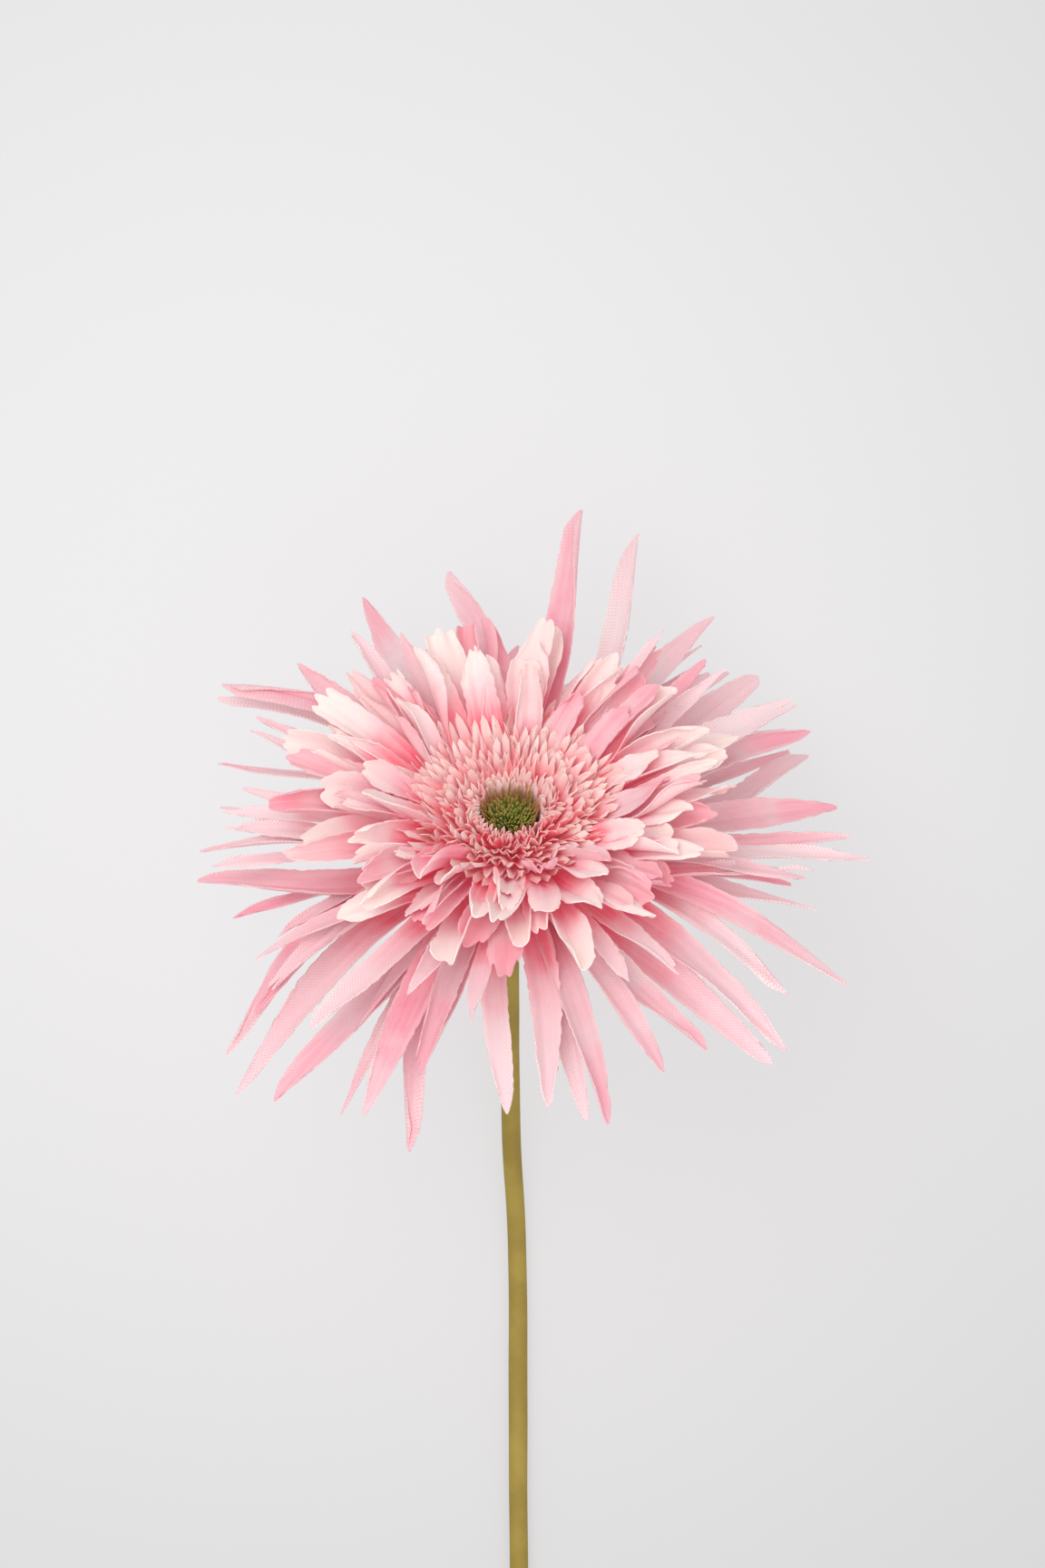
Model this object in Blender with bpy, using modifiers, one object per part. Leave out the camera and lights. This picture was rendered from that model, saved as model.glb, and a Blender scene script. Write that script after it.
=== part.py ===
"""A cut spider gerbera lying on a table: stem, calyx, receptacle, long petals, mid petals, fringe and eye.

Run with: blender --background --python part.py
Metres, +Z up, the table is z = 0, and the origin is under the middle of the whole flower.
The stem runs along -Y. The head is tipped back by HEAD_TILT, so that it faces up and along +Y.
Head pieces are modelled about their own axis (local +Z) and parented to the empty "head".
"""

import math
import random

import bmesh
import bpy
import numpy as np
from mathutils import Vector

MM = 0.001

# Driving dimensions, in millimetres and degrees.
HEAD_AT = (-5.5, 159.5, 78.0)  # middle of the flower's eye
HEAD_TILT = 42.0  # between the head's axis and straight up

STEM_RADIUS = 2.15
STEM_LENGTH_ALONG_Y = 373.0  # from the calyx to the cut end
NECK_BEND_RADIUS = 80.0
NECK_STEPS = 3  # straight part, from the head
NECK_BEND_STEPS = 9
FLAT_STEPS = 14
SWAY_START = 40.0  # distance along the stem over which its sideways wave fades in
SWAY_SIZE = 0.9
SWAY_MIDDLE = 75.0
SWAY_SPREAD = 14.0
JOINT_GAP = 0.35  # between touching pieces

RECEPTACLE_RADIUS = 10.0
RECEPTACLE_TOP = -6.3  # heights along the head's axis, from the eye
RECEPTACLE_BOTTOM = -16.4

PETAL_THICKNESS = 0.5
PETAL_ARCH = 0.05  # how far a petal arches up, as a share of its length
LONG_STEPS = 8  # along a long petal
LONG_CUP = 0.22  # how far its edges lift, as a share of its width
LONG_BELLY = 0.35  # where along it a long petal is widest
LONG_TAPER_POWER = 0.8
LONG_TIP_SHARE = 0.14  # of its width, left at its tip
LONG_LEAVING = 0.3  # share of its length over which it leaves its root
LONG_BASE_WIDTH = 2.2
LONG_ROOT_RADIUS = RECEPTACLE_RADIUS + JOINT_GAP
LONG_TIERS = (-10.4, -11.9, -13.4, -14.9)  # heights of the four tiers of roots
TOP_TIER_RISE = 2.0  # petals that rise this much take the top tier
TIER_RISE_STEP = 4.5
CONE_APEX = -13.0  # the long petals' rise is measured from here
FLOOR_CLEARANCE = 0.35  # from the table to the middle of a resting petal's tip

# Each long petal: where its tip lies seen from above (mm across and along, from the eye),
# its rise above the head's own plane (degrees), and its width (mm).
LONG_PETALS = (
    (8.6, -65.6, -3, 6.4),
    (17.0, -69.2, -9, 5.6),
    (21.8, -69.4, -5, 6.6),
    (33.6, -58.4, 0, 6.2),
    (43.4, -53.4, -3, 6.4),
    (58.0, -57.0, -12, 6.8),
    (61.2, -53.6, -7, 6.8),
    (61.2, -41.6, -4, 6.0),
    (74.4, -39.4, 0, 6.4),
    (68.2, -23.0, -7, 5.4),
    (67.4, -14.0, 0, 5.4),
    (80.6, -12.2, -4, 6.2),
    (76.4, -7.0, -10, 6.0),
    (73.2, -0.4, -5, 6.4),
    (67.2, 10.4, -12, 6.0),
    (67.2, 16.6, -4, 6.2),
    (61.2, 17.4, -11, 5.2),
    (64.0, 23.2, 1, 6.8),
    (55.2, 28.2, -6, 6.4),
    (48.8, 29.6, -11, 6.6),
    (44.6, 32.0, -6, 4.6),
    (45.2, 42.0, 2, 6.4),
    (28.6, 60.0, 11, 6.2),
    (15.8, 65.6, 13, 7.2),
    (-13.8, 52.2, 3, 5.6),
    (-33.2, 47.0, 2, 6.0),
    (-64.8, 27.2, 3, 5.0),
    (-65.6, 24.0, -3, 5.6),
    (-58.4, 17.0, -7, 3.6),
    (-66.0, 9.4, -5, 6.2),
    (-64.8, -0.2, -10, 5.0),
    (-69.0, -10.6, 0, 5.4),
    (-69.6, -17.2, -6, 7.0),
    (-61.4, -25.0, -11, 4.2),
    (-53.4, -41.6, -3, 6.4),
    (-62.8, -54.6, -9, 6.4),
    (-60.4, -63.8, -14, 6.0),
    (-43.6, -48.6, 1.5, 6.4),
    (-51.6, -64.8, -9.2, 7.0),
    (-37.0, -68.4, -15, 5.4),
    (-32.0, -67.8, -6, 7.0),
    (-22.6, -76.0, -14, 5.6),
    (-20.8, -59.6, -2, 6.4),
    (-0.6, -67.0, -6, 6.6),
)
# The tips of the petals that the head rests on, mm across and along.
RESTING_PETALS = ((40.0, 20.0), (22.0, 33.0), (2.0, 36.0), (-19.0, 33.0), (-40.0, 22.0))
RESTING_WIDTH = 6.0

# Each whorl of mid petals: hub height, petals, rise, length, width, first petal's direction.
MID_WHORLS = (
    ("mid_petal_whorl_lower", -9.2, 11, 18.0, 45.0, 8.6, 6.0),
    ("mid_petal_whorl_middle", -8.2, 12, 25.0, 43.0, 8.8, 20.0),
    ("mid_petal_whorl_upper", -7.2, 12, 32.0, 37.0, 8.2, 33.0),
)
MID_RISE_SCATTER = 2.5
MID_TURN_SCATTER = 3.0
MID_LENGTH_SCATTER = 0.07
MID_HUB_WIDTH = 1.0
MID_HUB_THICKNESS = 0.45
MID_STEPS = 6
MID_COLUMNS = 2
MID_CUP = 0.2
MID_BELLY = 0.6
MID_END_FALL = 0.9  # how much of the width's square is gone at the end
MID_BASE_SHARE = 0.72  # of the hub's edge taken up by petals
MID_FIRST_RISE = 0.8  # share of the rise at which a petal leaves the hub
MID_LEAVING = 0.35

# Each ring of the fringe: root radius, rim radius, rim height, teeth.
FRINGE_RINGS = (
    ("fringe_ring_inner", 6.8, 9.4, 1.4, 20),
    ("fringe_ring_second", 7.8, 14.4, 3.0, 28),
    ("fringe_ring_third", 8.8, 20.4, 4.0, 36),
    ("fringe_ring_outer", 9.8, 26.4, 3.8, 44),
)
FRINGE_THICKNESS = 0.5
FRINGE_ROOT = RECEPTACLE_TOP + JOINT_GAP
FRINGE_NOTCH = 0.74  # how far up a ring the notches between its teeth begin
FRINGE_PLEAT = 0.3
FRINGE_SPREAD_POWER = 1.25
FRINGE_RISE_POWER = 0.9
RING_STEPS = 4  # from a toothed ring's root to its rim

EYE_RADIUS = 6.2
EYE_DOME = ((0.0, -3.4), (2.6, -3.7), (4.2, -4.3), (5.4, -3.4), (EYE_RADIUS, -2.4))  # radius, height
EYE_SIDES = 28
RECEPTACLE_SIDES = 36
CALYX_BOTTOM = -27.0
CALYX_RIM_RADIUS = 13.0
CALYX_BRACTS = 16
CALYX_THICKNESS = 0.9
CALYX_NOTCH = 0.78
CALYX_FLARE_POWER = 1.6

PETAL_PINK = (0.93, 0.53, 0.59)
CREAM_PINK = (0.92, 0.66, 0.64)
FRINGE_PINK = (0.86, 0.34, 0.38)
EYE_GREEN = (0.17, 0.20, 0.04)
STEM_OLIVE = (0.32, 0.235, 0.045)
CALYX_GREEN = (0.16, 0.21, 0.05)
RECEPTACLE_CREAM = (0.72, 0.62, 0.38)


def clear_scene():
    for obj in list(bpy.data.objects):
        bpy.data.objects.remove(obj, do_unlink=True)


def matte(name, color, roughness=0.8):
    """A plain Principled material."""
    material = bpy.data.materials.new(name)
    material.use_nodes = True
    shader = material.node_tree.nodes["Principled BSDF"]
    shader.inputs["Base Color"].default_value = (*color, 1.0)
    shader.inputs["Roughness"].default_value = roughness
    shader.inputs["Metallic"].default_value = 0.0
    return material


def add_object(name, data, material, collection, parent=None):
    obj = bpy.data.objects.new(name, data)
    data.materials.append(material)
    collection.objects.link(obj)
    obj.parent = parent
    return obj


def solidify(obj, thickness):
    """Gives an open sheet its thickness, half to each side."""
    modifier = obj.modifiers.new("thickness", "SOLIDIFY")
    modifier.thickness = thickness * MM
    modifier.offset = 0.0


def turned(name, profile, steps, material, collection, parent):
    """A solid of revolution. The profile runs (radius, height) down its outer side, in mm."""
    mesh = bpy.data.meshes.new(name)
    points = [(radius * MM, 0.0, height * MM) for radius, height in profile]
    mesh.from_pydata(points, [(i, i + 1) for i in range(len(points) - 1)], [])
    obj = add_object(name, mesh, material, collection, parent)
    screw = obj.modifiers.new("turn", "SCREW")
    screw.steps = screw.render_steps = steps
    screw.use_merge_vertices = True
    screw.merge_threshold = 0.0001
    return obj


def grid_sheet(name, columns, rows, place, keep=lambda column, row: True):
    """A mesh from a flat grid: place(column, row) gives each vertex in mm, keep picks faces."""
    bm = bmesh.new()
    bmesh.ops.create_grid(bm, x_segments=columns, y_segments=rows, size=1.0)
    cell = {}
    for vertex in bm.verts:
        column = round((vertex.co.x + 1) / 2 * columns)
        row = round((vertex.co.y + 1) / 2 * rows)
        cell[vertex] = (column, row)
    dropped = []
    for face in bm.faces:
        corner_column = min(cell[v][0] for v in face.verts)
        corner_row = min(cell[v][1] for v in face.verts)
        if not keep(corner_column, corner_row):
            dropped.append(face)
    bmesh.ops.delete(bm, geom=dropped, context="FACES")
    for vertex in bm.verts:
        vertex.co = Vector(place(*cell[vertex])) * MM
    bmesh.ops.remove_doubles(bm, verts=bm.verts, dist=0.01 * MM)
    mesh = bpy.data.meshes.new(name)
    bm.to_mesh(mesh)
    bm.free()
    return mesh


def bezier(points, s):
    """The cubic through its four control points at s, and its direction there."""
    p0, p1, p2, p3 = points
    r = 1 - s
    at = r**3 * p0 + 3 * r * r * s * p1 + 3 * r * s * s * p2 + s**3 * p3
    along = r * r * (p1 - p0) + 2 * r * s * (p2 - p1) + s * s * (p3 - p2)
    return at, along / np.linalg.norm(along)


def strap_width(s, base_width, width):
    """A long petal's width: it swells from its base to a third of its length, then narrows."""
    swell = math.sin(math.pi / 2 * min(s / LONG_BELLY, 1.0))
    past_belly = max(s - LONG_BELLY, 0.0) / (1 - LONG_BELLY)
    taper = (1 - past_belly**2) ** LONG_TAPER_POWER
    return (base_width + (width - base_width) * swell) * max(taper, LONG_TIP_SHARE)


def paddle_width(s, base_width, width):
    """A mid petal's width: widest past its middle, with a blunt rounded end."""
    swell = math.sin(math.pi / 2 * min(s / MID_BELLY, 1.0))
    past_belly = max(s - MID_BELLY, 0.0) / (1 - MID_BELLY)
    end = math.sqrt(1 - past_belly**2 * MID_END_FALL)
    return (base_width + (width - base_width) * swell) * end


def petal_point(points, width, cup, s, v):
    """A point of a petal: v runs -1 to 1 across it, and cup lifts its edges, mostly past its middle."""
    at, along = bezier(points, s)
    across = np.cross((0.0, 0.0, 1.0), along)
    across /= np.linalg.norm(across)
    up = np.cross(along, across)
    return at + across * (v * width / 2) + up * (cup * v * v * width * s * (1.25 - s))


def direction(azimuth, rise):
    """A unit vector in the head's frame."""
    a, e = math.radians(azimuth), math.radians(rise)
    return np.array((math.cos(a) * math.cos(e), math.sin(a) * math.cos(e), math.sin(e)))


def to_head(x, y, z):
    """A place given from the eye with the flower lying down, in the head's own frame."""
    tilt = math.radians(HEAD_TILT)
    sine, cosine = math.sin(tilt), math.cos(tilt)
    return np.array((x, y * cosine - z * sine, y * sine + z * cosine))


def tip_on_cone(x, y, rise):
    """The tip over table point (x, y) that lies on the cone of that rise about the head's axis."""
    tilt = math.radians(HEAD_TILT)
    sine, cosine = math.sin(tilt), math.cos(tilt)
    k = math.tan(math.radians(rise))
    level = y * sine - CONE_APEX
    a = cosine**2 - (k * sine) ** 2
    half_b = level * cosine + k * k * y * cosine * sine
    c = level**2 - k * k * (x * x + (y * cosine) ** 2)
    root = math.copysign(math.sqrt(max(half_b**2 - a * c, 0.0)), k)
    return to_head(x, y, (-half_b + root) / a)


def long_petal_plan():
    """Each long petal as (tip, rise, width), in order round the head."""
    plan = [(tip_on_cone(x, y, rise), rise, width) for x, y, rise, width in LONG_PETALS]
    for x, y in RESTING_PETALS:
        tip = to_head(x, y, FLOOR_CLEARANCE - HEAD_AT[2])
        rise = math.degrees(math.atan2(tip[2] - CONE_APEX, math.hypot(tip[0], tip[1])))
        plan.append((tip, rise, RESTING_WIDTH))
    return sorted(plan, key=lambda petal: math.atan2(petal[0][1], petal[0][0]))


def tiers_by_rise(plan):
    """The more a petal rises the higher its root, and no two neighbours share a tier."""
    tiers = {}
    count = len(plan)
    for i in sorted(range(count), key=lambda i: -plan[i][1]):
        wanted = (TOP_TIER_RISE - plan[i][1]) / TIER_RISE_STEP
        taken = (tiers.get((i - 1) % count), tiers.get((i + 1) % count))
        free = [tier for tier in range(len(LONG_TIERS)) if tier not in taken]
        tiers[i] = min(free, key=lambda tier: abs(tier - wanted))
    return tiers


def long_petals(material, collection, head):
    plan = long_petal_plan()
    tiers = tiers_by_rise(plan)
    step = 360.0 / len(plan)
    azimuths = [math.degrees(math.atan2(tip[1], tip[0])) for tip, _, _ in plan]
    offset = sum(a - i * step for i, a in enumerate(azimuths)) / len(plan)
    for i, (tip, rise, width) in enumerate(plan):
        azimuth = offset + i * step
        root = direction(azimuth, 0) * LONG_ROOT_RADIUS
        root[2] = LONG_TIERS[tiers[i]]
        reach = np.linalg.norm(tip - root)
        first = root + direction(azimuth, rise / 2) * reach * LONG_LEAVING
        arch = np.array((0.0, 0.0, PETAL_ARCH * reach))
        second = (first + tip) / 2 + arch
        points = (root, first, second, tip)

        def place(column, row, points=points, width=width):
            s = column / LONG_STEPS
            across = strap_width(s, LONG_BASE_WIDTH, width)
            return petal_point(points, across, LONG_CUP, s, row - 1)

        name = f"long_petal_{i + 1:02d}"
        sheet = grid_sheet(name, LONG_STEPS, 2, place)
        solidify(add_object(name, sheet, material, collection, head), PETAL_THICKNESS)


def mid_whorl(spec, material, collection, head):
    """A ring round the receptacle with petals on it, as one cut sheet."""
    name, height, petals, rise, length, width, start = spec
    hub_inner = RECEPTACLE_RADIUS + JOINT_GAP
    hub_outer = hub_inner + MID_HUB_WIDTH
    base_width = 2 * math.pi * hub_outer / petals * MID_BASE_SHARE
    scatter = random.Random(name)
    paths = []
    for petal in range(petals):
        azimuth = start + petal * 360.0 / petals
        root = direction(azimuth, 0) * hub_outer
        root[2] = height
        lean = rise + scatter.uniform(-MID_RISE_SCATTER, MID_RISE_SCATTER)
        turn = azimuth + scatter.uniform(-MID_TURN_SCATTER, MID_TURN_SCATTER)
        reach = length * scatter.uniform(1 - MID_LENGTH_SCATTER, 1 + MID_LENGTH_SCATTER)
        tip = root + direction(turn, lean) * reach
        first = root + direction(azimuth, rise * MID_FIRST_RISE) * reach * MID_LEAVING
        second = (first + tip) / 2 + np.array((0.0, 0.0, PETAL_ARCH * reach))
        paths.append((root, first, second, tip))

    def place(column, row):
        petal, local = divmod(column, MID_COLUMNS + 1)
        s = max(row - 1, 0) / MID_STEPS
        across = paddle_width(s, base_width, width)
        point = petal_point(paths[petal % petals], across, MID_CUP, s, local - 1)
        if row == 0:
            point[:2] *= hub_inner / math.hypot(point[0], point[1])
            point[2] = height
        return point

    def keep(column, row):
        return row == 0 or column % (MID_COLUMNS + 1) < MID_COLUMNS

    mesh = grid_sheet(name, petals * (MID_COLUMNS + 1), MID_STEPS + 1, place, keep)
    solidify(add_object(name, mesh, material, collection, head), MID_HUB_THICKNESS)


def toothed_ring(name, profile, teeth, notch, sway, thickness, material, collection, head):
    """A turned sheet with a zigzag rim. profile(s) gives radius and height; sway pleats it."""

    def place(column, row):
        tooth = column % 2
        s = row / RING_STEPS * (1.0 if tooth else notch)
        radius, height = profile(s)
        radius += sway * s * (1 if tooth else -1)
        angle = math.pi * (column % (2 * teeth)) / teeth
        return (radius * math.cos(angle), radius * math.sin(angle), height)

    mesh = grid_sheet(name, 2 * teeth, RING_STEPS, place)
    solidify(add_object(name, mesh, material, collection, head), thickness)


def fringe(material, collection, head):
    for name, root_radius, rim_radius, rim_height, teeth in FRINGE_RINGS:

        def profile(s, root=root_radius, rim=rim_radius, top=rim_height):
            radius = root + (rim - root) * s**FRINGE_SPREAD_POWER
            return radius, FRINGE_ROOT + (top - FRINGE_ROOT) * s**FRINGE_RISE_POWER

        toothed_ring(
            name,
            profile,
            teeth,
            FRINGE_NOTCH,
            FRINGE_PLEAT,
            FRINGE_THICKNESS,
            material,
            collection,
            head,
        )


def calyx(material, collection, head):
    """A thin cup round the stem's end that flares into bracts under the petals."""
    neck = STEM_RADIUS + JOINT_GAP + CALYX_THICKNESS / 2
    top = RECEPTACLE_BOTTOM - JOINT_GAP

    def profile(s):
        radius = neck + (CALYX_RIM_RADIUS - neck) * s**CALYX_FLARE_POWER
        return radius, CALYX_BOTTOM + (top - CALYX_BOTTOM) * math.sin(math.pi / 2 * s)

    toothed_ring(
        "calyx",
        profile,
        CALYX_BRACTS,
        CALYX_NOTCH,
        0.0,
        CALYX_THICKNESS,
        material,
        collection,
        head,
    )


def receptacle(material, collection, head):
    profile = (
        (0.0, RECEPTACLE_TOP),
        (RECEPTACLE_RADIUS, RECEPTACLE_TOP),
        (RECEPTACLE_RADIUS, RECEPTACLE_BOTTOM),
        (0.0, RECEPTACLE_BOTTOM),
    )
    turned("receptacle", profile, RECEPTACLE_SIDES, material, collection, head)


def eye(material, collection, head):
    """The green eye: a shallow dish whose middle is domed."""
    bottom = RECEPTACLE_TOP + JOINT_GAP
    profile = (*EYE_DOME, (EYE_RADIUS, bottom), (0.0, bottom))
    turned("eye", profile, EYE_SIDES, material, collection, head)


def stem_route():
    """From the receptacle down along the head's axis, round the neck and along the table, mm."""
    tilt = math.radians(HEAD_TILT)
    axis = Vector((0.0, math.sin(tilt), math.cos(tilt)))
    eye_at = Vector(HEAD_AT)
    start = eye_at + axis * (RECEPTACLE_BOTTOM - JOINT_GAP)
    slope = math.pi / 2 - tilt  # below level, where the neck leaves the head
    bend_drop = NECK_BEND_RADIUS * (1 - math.cos(slope))
    straight = (start.z - STEM_RADIUS - bend_drop) / math.sin(slope)
    route = [start - axis * straight * part / NECK_STEPS for part in range(NECK_STEPS)]
    bend_start = start - axis * straight
    for i in range(NECK_BEND_STEPS + 1):
        left = slope * (1 - i / NECK_BEND_STEPS)
        back = NECK_BEND_RADIUS * (math.sin(slope) - math.sin(left))
        drop = NECK_BEND_RADIUS * (math.cos(left) - math.cos(slope))
        route.append(bend_start - Vector((0.0, back, drop)))
    end_y = start.y - STEM_LENGTH_ALONG_Y
    landed = route[-1].copy()
    for i in range(1, FLAT_STEPS + 1):
        y = landed.y + (end_y - landed.y) * i / FLAT_STEPS
        route.append(Vector((landed.x, y, STEM_RADIUS)))
    for point in route:
        point.x += stem_sway(start.y - point.y)
    return route


def stem_sway(down):
    """The slight sideways wave of the stem, mm, at that distance down it along Y."""
    fade_in = min(down / SWAY_START, 1.0)
    return fade_in * SWAY_SIZE * (1 + math.tanh((down - SWAY_MIDDLE) / SWAY_SPREAD))


def stem(material, collection):
    curve = bpy.data.curves.new("stem", "CURVE")
    curve.dimensions = "3D"
    curve.bevel_depth = STEM_RADIUS * MM
    curve.bevel_resolution = 4
    curve.use_fill_caps = True
    route = stem_route()
    spline = curve.splines.new("POLY")
    spline.points.add(len(route) - 1)
    for point, at in zip(spline.points, route):
        point.co = (*(at * MM), 1.0)
    add_object("stem", curve, material, collection)


def main():
    clear_scene()
    collection = bpy.data.collections.new("cut_gerbera")
    bpy.context.scene.collection.children.link(collection)
    head = bpy.data.objects.new("head", None)
    head.location = Vector(HEAD_AT) * MM
    head.rotation_euler = (math.radians(-HEAD_TILT), 0.0, 0.0)
    collection.objects.link(head)

    stem(matte("stem_olive", STEM_OLIVE, 0.7), collection)
    calyx(matte("calyx_green", CALYX_GREEN), collection, head)
    receptacle(matte("receptacle_cream", RECEPTACLE_CREAM), collection, head)
    eye(matte("eye_green", EYE_GREEN), collection, head)
    fringe(matte("fringe_pink", FRINGE_PINK), collection, head)
    cream = matte("mid_petal_cream", CREAM_PINK)
    for spec in MID_WHORLS:
        mid_whorl(spec, cream, collection, head)
    long_petals(matte("long_petal_pink", PETAL_PINK), collection, head)


main()
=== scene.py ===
"""The looks of an artificial spider gerbera lying on a table.

Cloth petals, ruffled florets, a tufted eye, a moulded calyx and a coated wire stem are laid over the
frame. Shapes are worked out in the head's own frame, in millimetres: the eye's middle is the origin and
the third axis is the way the flower faces.
"""

import math

import bpy
import numpy as np
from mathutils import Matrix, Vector


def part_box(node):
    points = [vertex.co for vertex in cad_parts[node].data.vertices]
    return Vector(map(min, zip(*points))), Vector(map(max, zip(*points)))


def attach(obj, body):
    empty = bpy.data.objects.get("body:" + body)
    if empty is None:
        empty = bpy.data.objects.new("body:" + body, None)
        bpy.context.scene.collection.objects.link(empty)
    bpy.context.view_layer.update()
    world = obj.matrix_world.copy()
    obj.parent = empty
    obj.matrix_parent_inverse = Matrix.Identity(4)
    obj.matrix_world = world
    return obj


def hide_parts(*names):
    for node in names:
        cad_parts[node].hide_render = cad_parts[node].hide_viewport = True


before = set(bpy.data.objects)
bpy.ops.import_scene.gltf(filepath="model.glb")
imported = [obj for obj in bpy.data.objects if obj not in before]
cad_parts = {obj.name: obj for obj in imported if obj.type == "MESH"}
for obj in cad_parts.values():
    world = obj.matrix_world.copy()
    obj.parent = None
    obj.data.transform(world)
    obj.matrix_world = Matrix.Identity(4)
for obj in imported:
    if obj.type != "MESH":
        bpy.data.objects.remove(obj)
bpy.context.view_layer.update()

MM = 0.001

# The head's frame. The receptacle is a cylinder on the head's axis, so its box gives its middle.
HEAD_TILT = math.radians(42.0)
RECEPTACLE_TOP = -6.3
RECEPTACLE_BOTTOM = -16.4
RECEPTACLE_RADIUS = 10.0
JOINT_GAP = 0.35
SIDE = np.array((1.0, 0.0, 0.0))
BACK = np.array((0.0, math.cos(HEAD_TILT), -math.sin(HEAD_TILT)))
AXIS = np.array((0.0, math.sin(HEAD_TILT), math.cos(HEAD_TILT)))
HEAD = np.array((SIDE, BACK, AXIS))
CORE = (np.array(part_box("receptacle")[0]) + np.array(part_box("receptacle")[1])) / 2
EYE = CORE / MM - AXIS * (RECEPTACLE_TOP + RECEPTACLE_BOTTOM) / 2

CAMERA_DISTANCE = 3000.0
CAMERA_AIM = (2.8, 4.8)  # across and along the table from the eye, mm
VIEW_HEIGHT = 345.6  # table seen from top to bottom of the frame, mm
SENSOR = 36.0


def linear(red, green, blue):
    """A display colour, 0 to 255, as the linear colour that shaders use."""
    share = np.array((red, green, blue)) / 255
    value = np.where(share <= 0.04045, share / 12.92, ((share + 0.055) / 1.055) ** 2.4)
    return (*value.tolist(), 1.0)


# Finishes
CREAM = linear(243, 233, 224)
PALE = linear(241, 220, 222)
BLUSHED = linear(232, 222, 222)
PINK = linear(230, 221, 222)
ROSE = linear(238, 142, 164)
DEEP_ROSE = linear(242, 76, 108)
CORAL = linear(232, 34, 64)
SALMON = linear(239, 208, 206)
MAROON = linear(150, 76, 46)
# A faint painted glow on the petals, of this colour, that lifts their shade in place of light let through
# from behind and bounced between them.
PAINTED_GLOW = (0.9, 0.2, 0.3, 1.0)


# Shapes


def to_table(points):
    """Head-frame millimetres to metres on the table: eye plus the sum of each share of the axes."""
    return (points @ HEAD + EYE) * MM


def to_head(points):
    """The reverse: table metres to head-frame millimetres."""
    return (points / MM - EYE) @ HEAD.T


def round_axis(azimuth, radius, height):
    """Points at an angle round the head's axis, in degrees, a radius from it and a height along it."""
    turn = np.radians(azimuth)
    return np.stack((np.cos(turn) * radius, np.sin(turn) * radius, height + 0 * turn), -1)


def bezier_curve(points):
    """The polynomial of each cubic with four control points, highest power first."""
    p0, p1, p2, p3 = np.moveaxis(np.asarray(points, float), -2, 0)
    return np.stack((p3 - 3 * p2 + 3 * p1 - p0, 3 * (p0 - 2 * p1 + p2), 3 * (p1 - p0), p0), -2)


def curve_points(c, s):
    """Where each cubic is at a share of its way from 0 to 1."""
    return ((c[..., 0, :] * s + c[..., 1, :]) * s + c[..., 2, :]) * s + c[..., 3, :]


LENGTH_POINTS = 24


def curve_length(curve):
    """The length of each cubic, as the sum of short chords."""
    at = curve_points(curve[:, None], np.linspace(0, 1, LENGTH_POINTS)[None, :, None])
    return np.linalg.norm(np.diff(at, axis=1), axis=-1).sum(1)


def outline(s, root, belly, tip, hold):
    """Width share along a petal: root share, rising by a sine to 1 at belly, then to the tip share
    by one minus a power."""
    swell = np.sin(np.pi / 2 * np.clip(s / belly, 0, 1))
    fade = 1 - np.clip((s - belly) / (1 - belly), 0, 1) ** hold
    return (root + (1 - root) * swell) * (tip + (1 - tip) * fade)


def column(values, count):
    """Numbers per petal as an array that spreads over its rows and columns."""
    return np.broadcast_to(np.asarray(values, float), (count,))[:, None, None]


# What a petal has where its own shape doesn't say; anything else is 0.
PLAIN_PETAL = {
    "root": 0.4,
    "belly": 0.35,
    "tip": 0.15,
    "hold": 2.0,
    "lobes": 2.0,
    "fray": 0.008,
    "roll": 0.3,
    "roll_tip": 0.3,
    "ripples": 1.5,
    "ruffles": 2.0,
    "tone": 0.5,
}
LEAST_ROLL = 0.02  # radians; a smaller roll would divide by zero
POINT_POWER = 1.5
TOOTH_POWER = 1.8
FRAY_POWER = 3
GROWTH_POWER = 1.5  # how ruffles and twist grow along a petal
EDGE_LAG = 1.9  # radians between the ripples of a petal's two edges
CREASE_WAVES = 3
SWAY_WAVES = 0.8
SWAY_LAG = 1.7
CLOTH_STEP = 10  # sets each petal's piece of cloth apart from the next one's


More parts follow.
